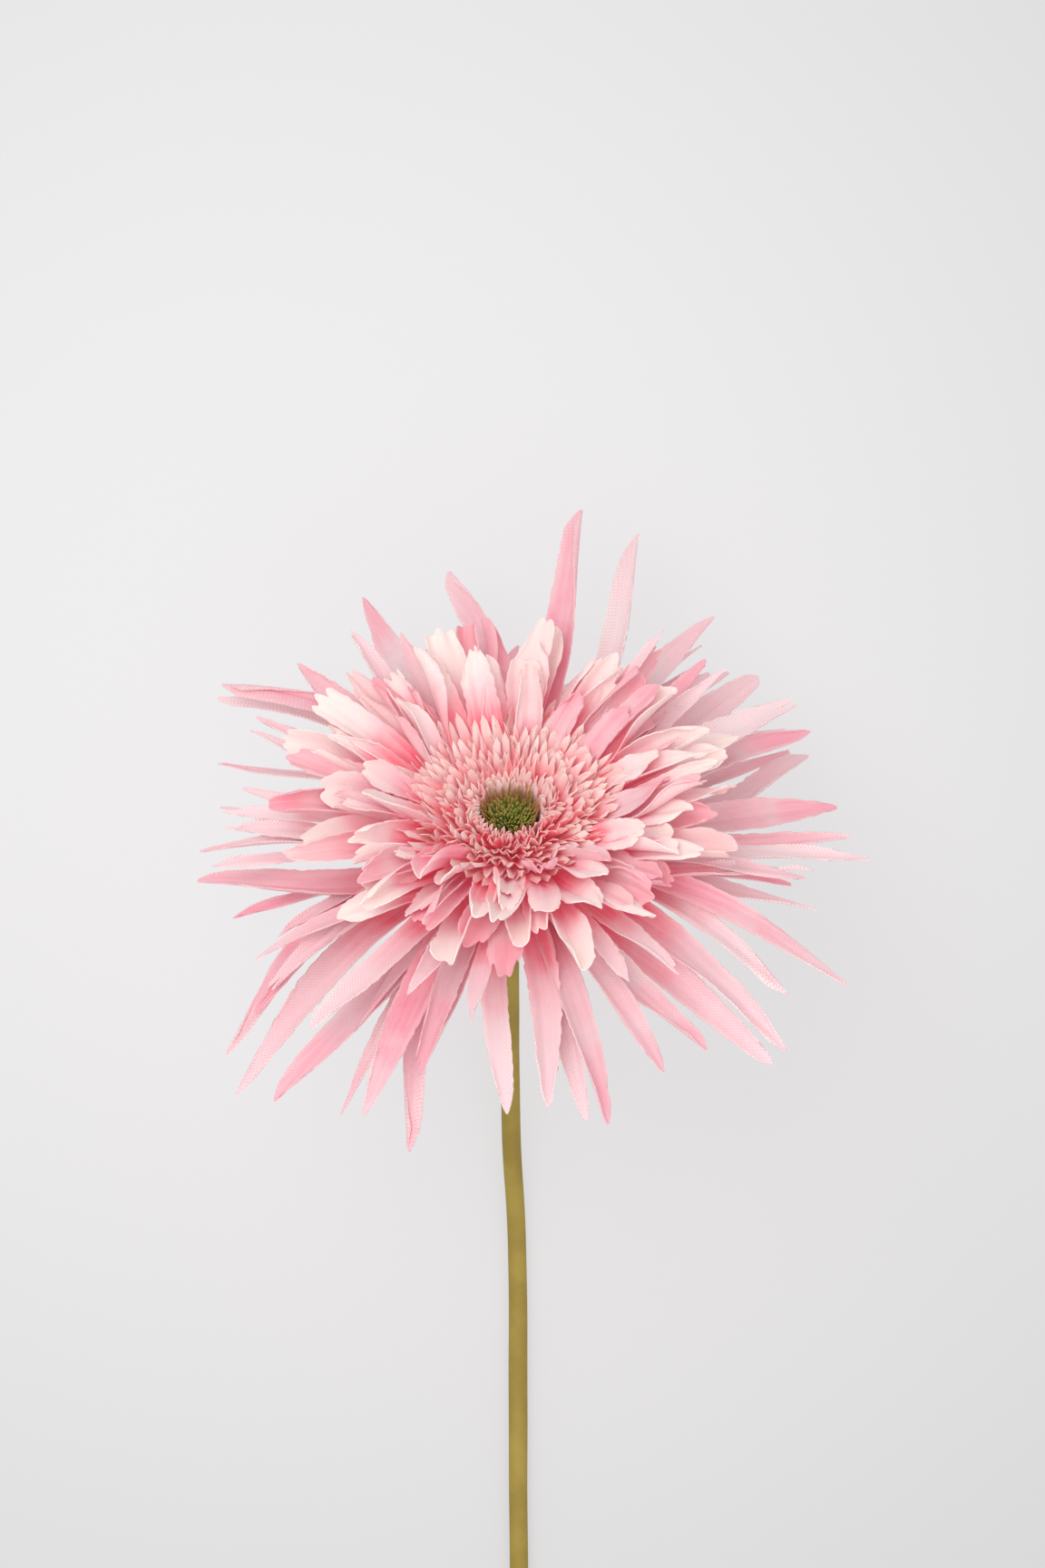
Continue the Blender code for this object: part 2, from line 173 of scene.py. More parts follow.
def petal_grid(curve, width, shape, rng, rows, columns):
    """Points of many petals at once, (petal, row, column, 3), with where each point is on its petal.

    A petal follows its cubic for s from 0 to 1. Across it, v from -1 to 1 lies on an arc of half-angle
    roll, is lifted by fold times the distance from the midrib, and ripples by a sine along its edges.
    A ruffle is a sine across it that grows towards the end, and creases are a cosine across it that
    fades at both ends. The petal sways up and down by a sine that grows along it, bows sideways by a
    half sine, and turns about its own line by lean at its root and by twist more at its end. Its end
    is cut back by point times a power of v, and into teeth by a rounded triangle wave of v, one tooth
    to each lobe.
    """
    count = len(curve)

    def part(name):
        return column(shape.get(name, PLAIN_PETAL.get(name, 0.0)), count)

    s = np.linspace(0, 1, rows)[None, :, None]
    v = np.linspace(-1, 1, columns)[None, None, :]
    phase = rng.uniform(0, 2 * np.pi, (count, 1, 1))
    saw = (part("lobes") * (v + 1) / 2 + part("lobe_turn") * phase) % 1.0
    teeth = part("notch") * np.abs(2 * saw - 1) ** TOOTH_POWER
    reach = 1 - part("point") * np.abs(v) ** POINT_POWER - teeth
    t = s * reach
    c = curve[:, None, None]
    tt = t[..., None]
    at = curve_points(c, tt)
    ahead = (3 * c[..., 0, :] * tt + 2 * c[..., 1, :]) * tt + c[..., 2, :]
    ahead /= np.linalg.norm(ahead, axis=-1, keepdims=True)
    over = np.cross(ahead, (0.0, 0.0, 1.0))
    over /= np.linalg.norm(over, axis=-1, keepdims=True)
    up = np.cross(over, ahead)

    share = outline(s, part("root"), part("belly"), part("tip"), part("hold"))
    fray = rng.normal(0, 1, (count, rows, 1)) * part("fray") * np.abs(v) ** FRAY_POWER
    half = column(width, count) / 2 * share * (1 + fray * s)
    roll = part("roll") + (part("roll_tip") - part("roll")) * s**2
    roll = np.where(np.abs(roll) < LEAST_ROLL, LEAST_ROLL, roll)
    x = half * np.sin(roll * v) / roll
    z = half * (1 - np.cos(roll * v)) / roll
    z = z + half * np.abs(v) * part("fold")
    ripple = np.sin(2 * np.pi * part("ripples") * s + phase + np.where(v > 0, EDGE_LAG, 0.0))
    z = z + part("ripple") * ripple * v**2 * np.sin(np.pi / 2 * s)
    z = z + part("ruffle") * np.sin(np.pi * part("ruffles") * v + phase) * s**GROWTH_POWER
    z = z + part("creases") * np.cos(CREASE_WAVES * np.pi * v + phase) * np.sin(np.pi * s)
    z = z + part("sway") * np.sin(2 * np.pi * SWAY_WAVES * s + SWAY_LAG * phase) * s
    x = x + part("bow") * np.sin(np.pi * s)
    twist = part("lean") + part("twist") * s**GROWTH_POWER
    x, z = x * np.cos(twist) - z * np.sin(twist), x * np.sin(twist) + z * np.cos(twist)
    grid = at + over * x[..., None] + up * z[..., None]

    length = curve_length(curve)[:, None, None]
    full = np.zeros_like(x)
    marks = np.stack((t + full, v / 2 + 0.5 + full, part("tone") + full, part("blush") + full), -1)
    cloth = np.stack((v * half + full, t * length + full, phase * CLOTH_STEP + full), -1)
    return grid, marks, cloth


def shell_faces(count, rows, columns):
    """The quads of closed thin shells: an upper grid, a lower one turned over, and four edges."""
    index = np.arange(2 * count * rows * columns).reshape(2, count, rows, columns)
    upper, lower = index

    def quads(a, b, c, d):
        return np.stack((a, b, c, d), -1).reshape(-1, 4)

    return np.concatenate(
        (
            quads(upper[:, :-1, :-1], upper[:, :-1, 1:], upper[:, 1:, 1:], upper[:, 1:, :-1]),
            quads(lower[:, :-1, :-1], lower[:, 1:, :-1], lower[:, 1:, 1:], lower[:, :-1, 1:]),
            quads(upper[:, :-1, 0], upper[:, 1:, 0], lower[:, 1:, 0], lower[:, :-1, 0]),
            quads(upper[:, 1:, -1], upper[:, :-1, -1], lower[:, :-1, -1], lower[:, 1:, -1]),
            quads(upper[:, 0, 1:], upper[:, 0, :-1], lower[:, 0, :-1], lower[:, 0, 1:]),
            quads(upper[:, -1, :-1], upper[:, -1, 1:], lower[:, -1, 1:], lower[:, -1, :-1]),
        )
    )


def new_piece(name, points, faces, material, replaced, sharp):
    """A mesh piece in place, riding on the flower's one body. Edges over the sharp angle stay crisp."""
    mesh = bpy.data.meshes.new(name)
    mesh.from_pydata(points.tolist(), [], faces)
    mesh.update()
    mesh.shade_smooth()
    mesh.set_sharp_from_angle(angle=sharp)
    mesh.materials.append(material)
    piece = bpy.data.objects.new(name, mesh)
    bpy.context.scene.collection.objects.link(piece)
    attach(piece, "root")
    if replaced:
        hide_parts(*replaced)
    return piece


PETAL_SHARP = math.radians(55.0)
TINY = 1e-12


def petal_piece(name, grids, thickness, material, replaced, under=0.0):
    """Joins petal grids of any row and column counts into one piece of closed shells.

    The upper and lower surfaces lie half the thickness to each side along the grid's normal, which is
    the cross product of its steps across and along. The lower one's blush is raised by under: painted
    shade that makes the underside redder than the cloth itself is.
    """
    points, faces, marks, cloth = [], [], [], []
    offset = 0
    for grid, grid_marks, grid_cloth in grids:
        across = np.gradient(grid, axis=2)
        along = np.gradient(grid, axis=1)
        normal = np.cross(across, along)
        normal /= np.linalg.norm(normal, axis=-1, keepdims=True) + TINY
        both = np.stack((grid + normal * thickness / 2, grid - normal * thickness / 2))
        count, rows, columns = grid.shape[:3]
        points.append(to_table(both.reshape(-1, 3)))
        faces.append(shell_faces(count, rows, columns) + offset)
        upper_marks = grid_marks.reshape(-1, 4)
        marks.append(np.concatenate((upper_marks, np.clip(upper_marks + (0, 0, 0, under), 0, 1))))
        cloth.append(np.tile(grid_cloth.reshape(-1, 3), (2, 1)))
        offset += 2 * count * rows * columns
    points, faces = np.concatenate(points), np.concatenate(faces).tolist()
    mesh = new_piece(name, points, faces, material, replaced, PETAL_SHARP).data
    layer = mesh.attributes.new("marks", "FLOAT_COLOR", "POINT")
    layer.data.foreach_set("color", np.concatenate(marks).astype(np.float32).ravel())
    layer = mesh.attributes.new("cloth", "FLOAT_VECTOR", "POINT")
    layer.data.foreach_set("vector", np.concatenate(cloth).astype(np.float32).ravel())


# Materials


def add_node(tree, kind, *values, **settings):
    """A node with its settings made and its inputs filled in order, each by a number or a socket."""
    node = tree.nodes.new(kind)
    for key, value in settings.items():
        setattr(node, key, value)
    for socket, value in zip(node.inputs, values):
        if isinstance(value, bpy.types.NodeSocket):
            tree.links.new(value, socket)
        elif value is not None:
            socket.default_value = value
    return node


def maths(tree, operation, a, b=0.0):
    """The result of a Math node on two numbers or sockets."""
    return add_node(tree, "ShaderNodeMath", a, b, operation=operation).outputs[0]


def ramped(tree, value, low, high, start=0.0, end=1.0):
    """Value from low to high becomes start to end by a smooth step."""
    node = add_node(
        tree, "ShaderNodeMapRange", value, low, high, start, end, interpolation_type="SMOOTHSTEP"
    )
    return node.outputs[0]


def mixed(tree, share, a, b):
    """Colour a going over to colour b by a share; 0, 6 and 7 are the Mix node's colour inputs."""
    node = add_node(tree, "ShaderNodeMix", data_type="RGBA")
    for socket, value in ((node.inputs[0], share), (node.inputs[6], a), (node.inputs[7], b)):
        if isinstance(value, bpy.types.NodeSocket):
            tree.links.new(value, socket)
        else:
            socket.default_value = value
    return node.outputs[2]


def new_group(name, inputs, outputs):
    """An empty shader group with its sockets, and its inner ends."""
    tree = bpy.data.node_groups.new(name, "ShaderNodeTree")
    for label, kind, value in inputs:
        socket = tree.interface.new_socket(label, in_out="INPUT", socket_type=kind)
        socket.default_value = value
    for label, kind in outputs:
        tree.interface.new_socket(label, in_out="OUTPUT", socket_type=kind)
    entry = tree.nodes.new("NodeGroupInput")
    leave = tree.nodes.new("NodeGroupOutput")
    return tree, entry.outputs, leave.inputs


def noise(tree, place, scale, detail):
    """Soft clouds from 0 to 1 over a place."""
    node = add_node(tree, "ShaderNodeTexNoise", place)
    node.inputs["Scale"].default_value = scale
    node.inputs["Detail"].default_value = detail
    return node.outputs[0]


# Dyed cloth. Its patterns lie on millimetres of cloth, and the shares are of a petal or of full colour.
STREAK_SCALE = (1.3, 0.07, 1.0)  # streaks are drawn out along the petal
CLOUD_SCALE = 0.11
CLOUD_DRIFT = 0.5
TONE_DRIFT = 0.25
BRIGHTEST = 1.06
TONE_DIMMING = 0.12
RIB_SHARE = 0.5
WEAVE_SHARE = 0.09


def dyed_cloth_group():
    """Dyed woven cloth: root, middle and tip dyes that run into each other along the petal, a blush
    that floods some petals, pale edges, drawn-out streaks and a fine plain weave."""
    tree, given, out = new_group(
        "dyed cloth",
        (
            ("Root", "NodeSocketColor", DEEP_ROSE),
            ("Middle", "NodeSocketColor", PINK),
            ("Tip", "NodeSocketColor", PALE),
            ("Blush", "NodeSocketColor", ROSE),
            ("Edge", "NodeSocketColor", CREAM),
            ("Edge share", "NodeSocketFloat", 0.3),
            ("Root hold", "NodeSocketFloat", 0.02),
            ("Root reach", "NodeSocketFloat", 0.3),
            ("Tip start", "NodeSocketFloat", 0.6),
            ("Streaks", "NodeSocketFloat", 0.3),
            ("Thread", "NodeSocketFloat", 0.8),
            ("Weave", "NodeSocketFloat", 0.1),
        ),
        (("Colour", "NodeSocketColor"), ("Height", "NodeSocketFloat")),
    )
    marks = add_node(tree, "ShaderNodeAttribute", attribute_name="marks")
    cloth = add_node(tree, "ShaderNodeAttribute", attribute_name="cloth")
    split = add_node(tree, "ShaderNodeSeparateColor", marks.outputs["Color"])
    along, across, tone = split.outputs[0], split.outputs[1], split.outputs[2]
    blush = marks.outputs["Alpha"]

    drawn = add_node(tree, "ShaderNodeMapping", cloth.outputs["Vector"], None, None, STREAK_SCALE)
    streak = noise(tree, drawn.outputs[0], 1.0, 3.0)
    cloud = noise(tree, cloth.outputs["Vector"], CLOUD_SCALE, 2.0)

    # Where on the petal a point counts as being: clouds and the petal's own tone shift its dyes.
    drift = maths(tree, "MULTIPLY", maths(tree, "SUBTRACT", cloud, 0.5), CLOUD_DRIFT)
    early = maths(tree, "MULTIPLY", maths(tree, "SUBTRACT", tone, 0.5), TONE_DRIFT)
    place = maths(tree, "ADD", maths(tree, "ADD", along, drift), early)
    to_middle = ramped(tree, place, given["Root hold"], given["Root reach"])
    colour = mixed(tree, to_middle, given["Root"], given["Middle"])
    to_tip = ramped(tree, place, given["Tip start"], 1.0)
    tip = mixed(tree, ramped(tree, tone, 0.5, 0.9, 0.0, 0.7), given["Tip"], given["Blush"])
    colour = mixed(tree, to_tip, colour, tip)
    flood = maths(tree, "MULTIPLY", blush, ramped(tree, cloud, 0.25, 0.6, 0.45, 1.0))
    flood = maths(tree, "MULTIPLY", flood, ramped(tree, to_tip, 0.0, 1.0, 1.0, 0.4))
    colour = mixed(tree, flood, colour, given["Blush"])
    from_rib = maths(tree, "ABSOLUTE", maths(tree, "SUBTRACT", across, 0.5))
    edge = maths(tree, "MULTIPLY", ramped(tree, from_rib, 0.3, 0.5), given["Edge share"])
    colour = mixed(tree, edge, colour, given["Edge"])
    lighter = ramped(tree, streak, 0.35, 0.68)
    colour = mixed(tree, maths(tree, "MULTIPLY", lighter, given["Streaks"]), colour, PALE)
    dimmer = maths(tree, "SUBTRACT", BRIGHTEST, maths(tree, "MULTIPLY", tone, TONE_DIMMING))
    dimmed = add_node(tree, "ShaderNodeHueSaturation", 0.5, 1.0, dimmer, 1.0, colour)
    colour = dimmed.outputs[0]

    step = add_node(tree, "ShaderNodeSeparateXYZ", cloth.outputs["Vector"])
    turns = maths(tree, "DIVIDE", 2 * math.pi, given["Thread"])
    warp = maths(tree, "SINE", maths(tree, "MULTIPLY", step.outputs[0], turns))
    weft = maths(tree, "SINE", maths(tree, "MULTIPLY", step.outputs[1], turns))
    weave = maths(tree, "MULTIPLY", warp, weft)
    dips = maths(tree, "MULTIPLY", ramped(tree, weave, 0.2, -0.8), given["Weave"])
    colour = mixed(tree, dips, colour, given["Blush"])
    ribs = maths(tree, "MULTIPLY", streak, RIB_SHARE)
    height = maths(tree, "ADD", maths(tree, "MULTIPLY", weave, WEAVE_SHARE), ribs)
    tree.links.new(colour, out["Colour"])
    tree.links.new(height, out["Height"])
    return tree


def principled(name, roughness, **fixed):
    """A material whose one shader has its plain numbers set."""
    material = bpy.data.materials.new(name)
    material.use_nodes = True
    shader = material.node_tree.nodes["Principled BSDF"]
    shader.inputs["Roughness"].default_value = roughness
    for socket, value in fixed.items():
        shader.inputs[socket.replace("_", " ")].default_value = value
    return material, material.node_tree, shader


def add_bump(tree, shader, height, strength, relief):
    """Raises a shader's surface by a height."""
    bump = add_node(tree, "ShaderNodeBump")
    bump.inputs["Strength"].default_value = strength
    bump.inputs["Distance"].default_value = relief
    tree.links.new(height, bump.inputs["Height"])
    tree.links.new(bump.outputs[0], shader.inputs["Normal"])


THREAD_RELIEF = 0.3 * MM
SCATTER_DEPTH = 0.6 * MM


def petal_cloth(name, group, nap=0.06, glow=0.05, **dyes):
    """Matt petal cloth that scatters a little light under its surface, with a faint painted glow that
    lifts its shade.
    """
    material, tree, shader = principled(
        name,
        0.78,
        Subsurface_Weight=0.12,
        Subsurface_Radius=(1.0, 0.6, 0.6),
        Subsurface_Scale=SCATTER_DEPTH,
        Sheen_Weight=nap,
        Sheen_Roughness=0.5,
        # Painted glow: a faint pink emission of strength glow that lifts the petals' shade.
        Emission_Color=PAINTED_GLOW,
        Emission_Strength=glow,
        Specular_IOR_Level=0.25,
    )
    node = add_node(tree, "ShaderNodeGroup", node_tree=group)
    for label, value in dyes.items():
        node.inputs[label.replace("_", " ")].default_value = value
    tree.links.new(node.outputs["Colour"], shader.inputs["Base Color"])
    add_bump(tree, shader, node.outputs["Height"], 0.5, THREAD_RELIEF)
    return material


GRAIN_SCALE = 2400.0
GRAIN_RELIEF = 0.15 * MM


def moulded_plastic(name, dark, light, scale, roughness=0.6):
    """Matt coated plastic: two close tones in clouds, a roughness that follows them, a fine grain."""
    material, tree, shader = principled(name, roughness, Specular_IOR_Level=0.35)
    place = add_node(tree, "ShaderNodeTexCoord").outputs["Object"]
    cloud = noise(tree, place, scale, 5.0)
    share = ramped(tree, cloud, 0.35, 0.65)
    tree.links.new(mixed(tree, share, dark, light), shader.inputs["Base Color"])
    add_bump(tree, shader, noise(tree, place, GRAIN_SCALE, 2.0), 0.35, GRAIN_RELIEF)
    rough = ramped(tree, cloud, 0.3, 0.7, roughness - 0.08, roughness + 0.1)
    tree.links.new(rough, shader.inputs["Roughness"])
    return material


# Long petals

LONG_STATIONS = 9
LONG_GRID = (56, 11)  # rows along a petal and columns across it
LONG_THICKNESS = 0.32
THIN_THICKNESS = 0.3
LONG_SEED = 11
# How strongly some petals are flooded with pink, by their number; the rest vary by chance.
STRONG_BLUSH = {2: 0.55, 5: 0.7, 10: 0.85, 12: 0.45, 22: 0.75, 26: 0.5, 39: 0.9, 41: 0.7, 47: 0.8}
PALE_ONES = (9, 18, 21, 28, 30, 35, 37, 43)
SPLIT_ENDS = (4, 11, 30, 34, 48)
ROUND_ENDS = (8, 13, 16, 17, 32)
# How far some petals bow sideways from the frame's straight ones, in mm.
SIDE_BOWS = {
    2: -8.0, 3: -1.2, 5: 8.0, 6: 3.5, 7: -5.5, 8: -1.5, 12: 8.0, 13: 2.2, 14: -4.0, 17: 0.5,
    18: 2.0, 19: -2.0, 20: -5.0, 21: -6.0, 22: -4.0, 24: 6.0, 25: 1.5, 26: 1.5, 27: 0.5, 28: -3.0,
    29: 8.0, 32: 3.0, 35: 3.5, 37: 10.8, 39: 7.2, 41: 10.0, 45: 5.0, 46: -2.0, 47: 10.0, 48: 9.0,
    49: -4.0,
}
# How many times as wide as in the frame some petals are.
WIDER = {
    2: 1.15, 5: 1.35, 6: 1.2, 10: 1.15, 12: 1.1, 13: 0.88, 14: 1.25, 15: 1.15, 16: 1.1, 18: 1.3,
    19: 1.3, 20: 1.3, 26: 1.15, 27: 1.2, 28: 1.1, 29: 1.4, 30: 1.25, 31: 1.2, 32: 1.3, 35: 1.15,
    39: 1.1, 41: 1.2, 43: 1.2, 46: 0.7, 47: 1.2,
}
# Some petals are stretched a little past their cubics.
STRETCHED = (30, 31, 32, 33, 35, 37, 39, 41)
STRETCH = 1.018


def cad_petal(name):
    """The middle line and width of a plain petal: its corners sorted along it fall into stations."""
    corners = np.array([v.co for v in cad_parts[name].data.vertices])
    corners = to_head(np.unique(corners.round(6), axis=0))
    distance = np.linalg.norm(corners[:, :2], axis=1)
    line = corners[distance.argmax()] - corners[distance.argmin()]
    ordered = corners[np.argsort(corners @ line)].reshape(LONG_STATIONS, -1, 3)
    middles = ordered.mean(1)
    curve = np.polyfit(np.linspace(0, 1, LONG_STATIONS), middles, 3)
    spread = np.linalg.norm(ordered - middles[:, None], axis=-1).max(1)
    return curve, 2 * spread.max()


# To cut or stretch a cubic by a share, its coefficients are multiplied by these powers of the share.
CUBIC_POWERS = np.array((3, 2, 1, 0))[:, None]


def long_petals(cloth_look):
    """One piece for each long petal, along the middle line of its own node. Returns their cubics."""
    rng = np.random.default_rng(LONG_SEED)
    names = sorted(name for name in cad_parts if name.startswith("long_petal"))
    curves = []
    for number, name in enumerate(names, 1):
        curve, width = cad_petal(name)
        if number in STRETCHED:
            curve = curve * STRETCH**CUBIC_POWERS
        curves.append(curve)
        blush = STRONG_BLUSH.get(number, 0.0 if number in PALE_ONES else rng.uniform(0.0, 0.3))
        split = number in SPLIT_ENDS
        blunt = number in ROUND_ENDS or split
        shape = {
            "root": 0.45,
            "belly": rng.uniform(0.3, 0.6),
            "tip": rng.uniform(0.45, 0.6) if blunt else rng.uniform(0.22, 0.42),
            "hold": 3.4 if blunt else rng.uniform(2.2, 3.2),
            "point": rng.uniform(0.05, 0.08),
            "notch": 0.08 if split else rng.uniform(0.0, 0.012),
            "lobes": 2.0,
            "creases": rng.uniform(0.05, 0.3),
            "roll": rng.uniform(0.3, 0.7),
            "roll_tip": rng.uniform(0.1, 1.0),
            "fold": rng.uniform(0.0, 0.25),
            "ripple": rng.uniform(0.3, 0.9),
            "ripples": rng.uniform(1.0, 2.6),
            "sway": rng.uniform(-1.0, 1.0),
            "bow": rng.uniform(-1.4, 1.4) + SIDE_BOWS.get(number, 0.0),
            "twist": rng.uniform(-0.6, 0.6),
            "lean": rng.uniform(-0.15, 0.15),
            "fray": 0.05,
            "tone": rng.uniform(0, 1),
            "blush": blush,
        }
        width *= WIDER.get(number, rng.uniform(0.88, 1.06))
        grid = petal_grid(curve[None], width, shape, rng, *LONG_GRID)
        petal_piece(name, [grid], LONG_THICKNESS, cloth_look, [name])
    return np.array(curves)


# The long petals after which a shorter, thinner one peeps out.
PEEPING = (3, 4, 8, 11, 14, 23, 28, 29, 31, 33, 34, 40, 42, 45, 46, 48)
PEEPING_GRID = (36, 9)
PEEPING_SEED = 19


def peeping_petals(curves, cloth_look):
    """Thin petals half way between two neighbours: the mean of their cubics, cut to a share of it."""
    rng = np.random.default_rng(PEEPING_SEED)
    after = np.array(PEEPING)
    count = len(after)
    middle = (curves[after - 1] + curves[after % len(curves)]) / 2
    cut = rng.uniform(0.78, 0.98, count)[:, None, None]
    middle *= cut**CUBIC_POWERS
    shape = {
        "root": 0.5,
        "belly": rng.uniform(0.3, 0.6, count),
        "tip": rng.uniform(0.2, 0.45, count),
        "hold": rng.uniform(2.0, 3.0, count),
        "point": 0.06,
        "notch": rng.uniform(0.0, 0.04, count),
        "roll": rng.uniform(0.3, 1.0, count),
        "roll_tip": rng.uniform(0.1, 1.2, count),
        "ripple": rng.uniform(0.3, 0.9, count),
        "ripples": rng.uniform(1.0, 2.6, count),
        "sway": rng.uniform(-1.2, 1.2, count),
        "bow": rng.uniform(-2.2, 2.2, count),
        "twist": rng.uniform(-0.7, 0.7, count),
        "fray": 0.05,
        "tone": rng.uniform(0, 1, count),
        "blush": rng.uniform(0, 0.5, count),
    }
    grid = petal_grid(middle, rng.uniform(3.4, 5.4, count), shape, rng, *PEEPING_GRID)
    petal_piece("peeping_petals", [grid], THIN_THICKNESS, cloth_look, [])


# Petals between the long and the mid ones: the way round the head, rise, length and width of each.
SPARE_PETALS = (
    (143.0, 22.0, 52.0, 8.4),
    (130.0, 25.0, 50.0, 6.8),
    (119.5, 28.0, 44.0, 5.6),
    (51.4, 27.0, 49.0, 4.4),
    (41.5, 20.0, 51.0, 4.6),
    (37.4, 18.0, 52.0, 4.6),
    (-11.3, 2.0, 56.4, 4.8),
    (-148.0, 0.0, 55.0, 5.6),
    (-171.0, 3.0, 55.8, 4.4),
    (176.0, 5.0, 53.3, 4.6),
    (-63.0, 14.0, 48.0, 5.6),
    (-52.0, 10.0, 50.0, 6.0),
    (-112.0, 13.0, 50.0, 5.6),
    (-97.3, 14.0, 58.0, 4.6),
    (180.0, 3.0, 53.0, 5.2),
)
SPARE_HEIGHT = -11.2
SPARE_GRID = (40, 11)
SPARE_SEED = 53


def spare_petals(cloth_look):
    """Single petals that fill the gaps between the long and the mid ones."""
    rng = np.random.default_rng(SPARE_SEED)
    azimuth, rise, length, width = np.array(SPARE_PETALS).T
    count = len(azimuth)
    curve = mid_curve(azimuth, azimuth, SPARE_HEIGHT, rise, length, rng.uniform(0.0, 0.06, count))
    shape = {
        "root": 0.5,
        "belly": rng.uniform(0.4, 0.65, count),
        "tip": rng.uniform(0.25, 0.5, count),
        "hold": rng.uniform(2.2, 3.4, count),
        "point": 0.08,
        "notch": rng.uniform(0.0, 0.06, count),
        "lobe_turn": 0.1,
        "roll": rng.uniform(0.4, 1.1, count),
        "roll_tip": rng.uniform(0.1, 1.3, count),
        "ripple": rng.uniform(0.3, 1.0, count),
        "sway": rng.uniform(-1.0, 1.0, count),
        "bow": rng.uniform(-1.2, 1.2, count),
        "twist": rng.uniform(-0.7, 0.7, count),
        "fray": 0.06,
        "tone": rng.uniform(0, 1, count),
        "blush": rng.uniform(0, 0.45, count),
    }
    grid = petal_grid(curve, width, shape, rng, *SPARE_GRID)
    petal_piece("spare_petals", [grid], THIN_THICKNESS, cloth_look, [])


# Mid petals: for each frame whorl, its layers of petals by hub height, petals, rise, length and width.
MID_GRID = (30, 15)
MID_THICKNESS = 0.32
MID_SEED = 23
HUB_GAP = 0.9  # from the receptacle to the petals' roots
FIRST_RISE = 0.8
LEAVING = 0.35  # how far along a cubic's length its first inner point lies
MID_WHORLS = (
    ("mid_petal_whorl_lower", ((-9.2, 16, 17.0, 43.0, 8.2), (-9.0, 16, 20.0, 40.0, 8.0))),
    ("mid_petal_whorl_middle", ((-8.3, 16, 25.0, 40.0, 8.2), (-8.0, 16, 28.0, 37.0, 8.0))),
    ("mid_petal_whorl_upper", ((-7.3, 16, 32.0, 34.5, 7.4), (-7.0, 16, 37.0, 30.5, 6.6))),
)


def mid_curve(azimuth, turn, height, rise, length, arch):
    """Cubics from the hub that leave it at four fifths of the rise and bow up by a share of length."""
    root = round_axis(azimuth, RECEPTACLE_RADIUS + HUB_GAP + 0 * azimuth, height)

    def heading(around, lift):
        return round_axis(around, np.cos(np.radians(lift)), np.sin(np.radians(lift)))

    reach = np.asarray(length)[:, None]
    tip = root + heading(turn, rise) * reach
    first = root + heading(azimuth, rise * FIRST_RISE) * reach * LEAVING
    second = first + (tip - first) * 0.5
    second[:, 2] += np.asarray(arch) * np.asarray(length)
    return bezier_curve(np.stack((root, first, second, tip), 1))


def mid_layer(rng, height, count, rise, length, width):
    """One layer of a whorl: petals at even steps round the head, each scattered a little."""
    azimuth = rng.uniform(0, 360) + np.arange(count) * 360.0 / count + rng.uniform(-5, 5, count)
    lengths = length * rng.uniform(0.84, 1.08, count)
    curve = mid_curve(
        azimuth,
        azimuth + rng.uniform(-7, 7, count),
        height,
        rise + rng.uniform(-6, 6, count),
        lengths,
        rng.uniform(0.02, 0.13, count),
    )
    shape = {
        "root": 0.5,
        "belly": rng.uniform(0.55, 0.85, count),
        "tip": rng.uniform(0.45, 0.9, count),
        "hold": rng.uniform(2.6, 4.5, count),
        "point": rng.uniform(0.03, 0.12, count),
        "notch": rng.uniform(0.0, 0.09, count),
        "lobes": rng.choice((1.5, 2.0, 2.5, 3.0), count),
        "lobe_turn": 0.15,
        "creases": rng.uniform(0.05, 0.3, count),
        "ruffle": rng.uniform(0.0, 0.7, count),
        "ruffles": rng.uniform(1.0, 2.4, count),
        "roll": rng.uniform(0.6, 1.3, count),
        "roll_tip": rng.uniform(-0.8, 2.2, count),
        "fold": rng.uniform(0.0, 0.35, count),
        "ripple": rng.uniform(0.3, 1.1, count),
        "ripples": rng.uniform(0.8, 2.2, count),
        "sway": rng.uniform(-1.2, 1.2, count),
        "bow": rng.uniform(-1.5, 1.5, count),
        "twist": rng.uniform(-0.9, 0.9, count),
        "lean": rng.uniform(-0.4, 0.4, count),
        "fray": 0.04,
        "tone": rng.uniform(0, 1, count),
        "blush": np.clip(rng.normal(-0.2, 0.45, count), 0, 0.9),
    }
    return petal_grid(curve, width * rng.uniform(0.75, 1.25, count), shape, rng, *MID_GRID)


def mid_petals(cloth_look):
    """One piece for each whorl of two layers."""
    rng = np.random.default_rng(MID_SEED)
    for name, layers in MID_WHORLS:
        grids = [mid_layer(rng, *layer) for layer in layers]
        petal_piece(name, grids, MID_THICKNESS, cloth_look, [name])


# Fringe: rings of ruffled strips in each frame ring, as (rim radius, rim height, root radius, strips).
FRINGE = (
    ("fringe_ring_inner", ((8.0, 0.6, 6.5, 13), (9.8, 1.7, 7.1, 14))),
    ("fringe_ring_second", ((12.0, 2.5, 7.7, 14), (14.3, 3.2, 8.2, 15))),
    ("fringe_ring_third", ((16.7, 3.8, 8.7, 17), (19.1, 4.2, 9.0, 18))),
    ("fringe_ring_outer", ((21.5, 4.4, 9.3, 19), (23.8, 4.4, 9.6, 20), (26.0, 4.1, 9.9, 21))),
)
FRINGE_ROOT = RECEPTACLE_TOP + JOINT_GAP
FLORET_LEAN = math.radians(46.0)
STEEPEST_LEAN = math.radians(84.0)
LEAN_GAIN = 1.15
FLORET_GRID = (6, 13)
FLORET_THICKNESS = 0.22
# Painted shade: the florets' undersides are made redder than their upper faces.
FLORET_UNDERSIDE_SHADE = 0.85  # how much redder its underside is
FRINGE_SEED = 37


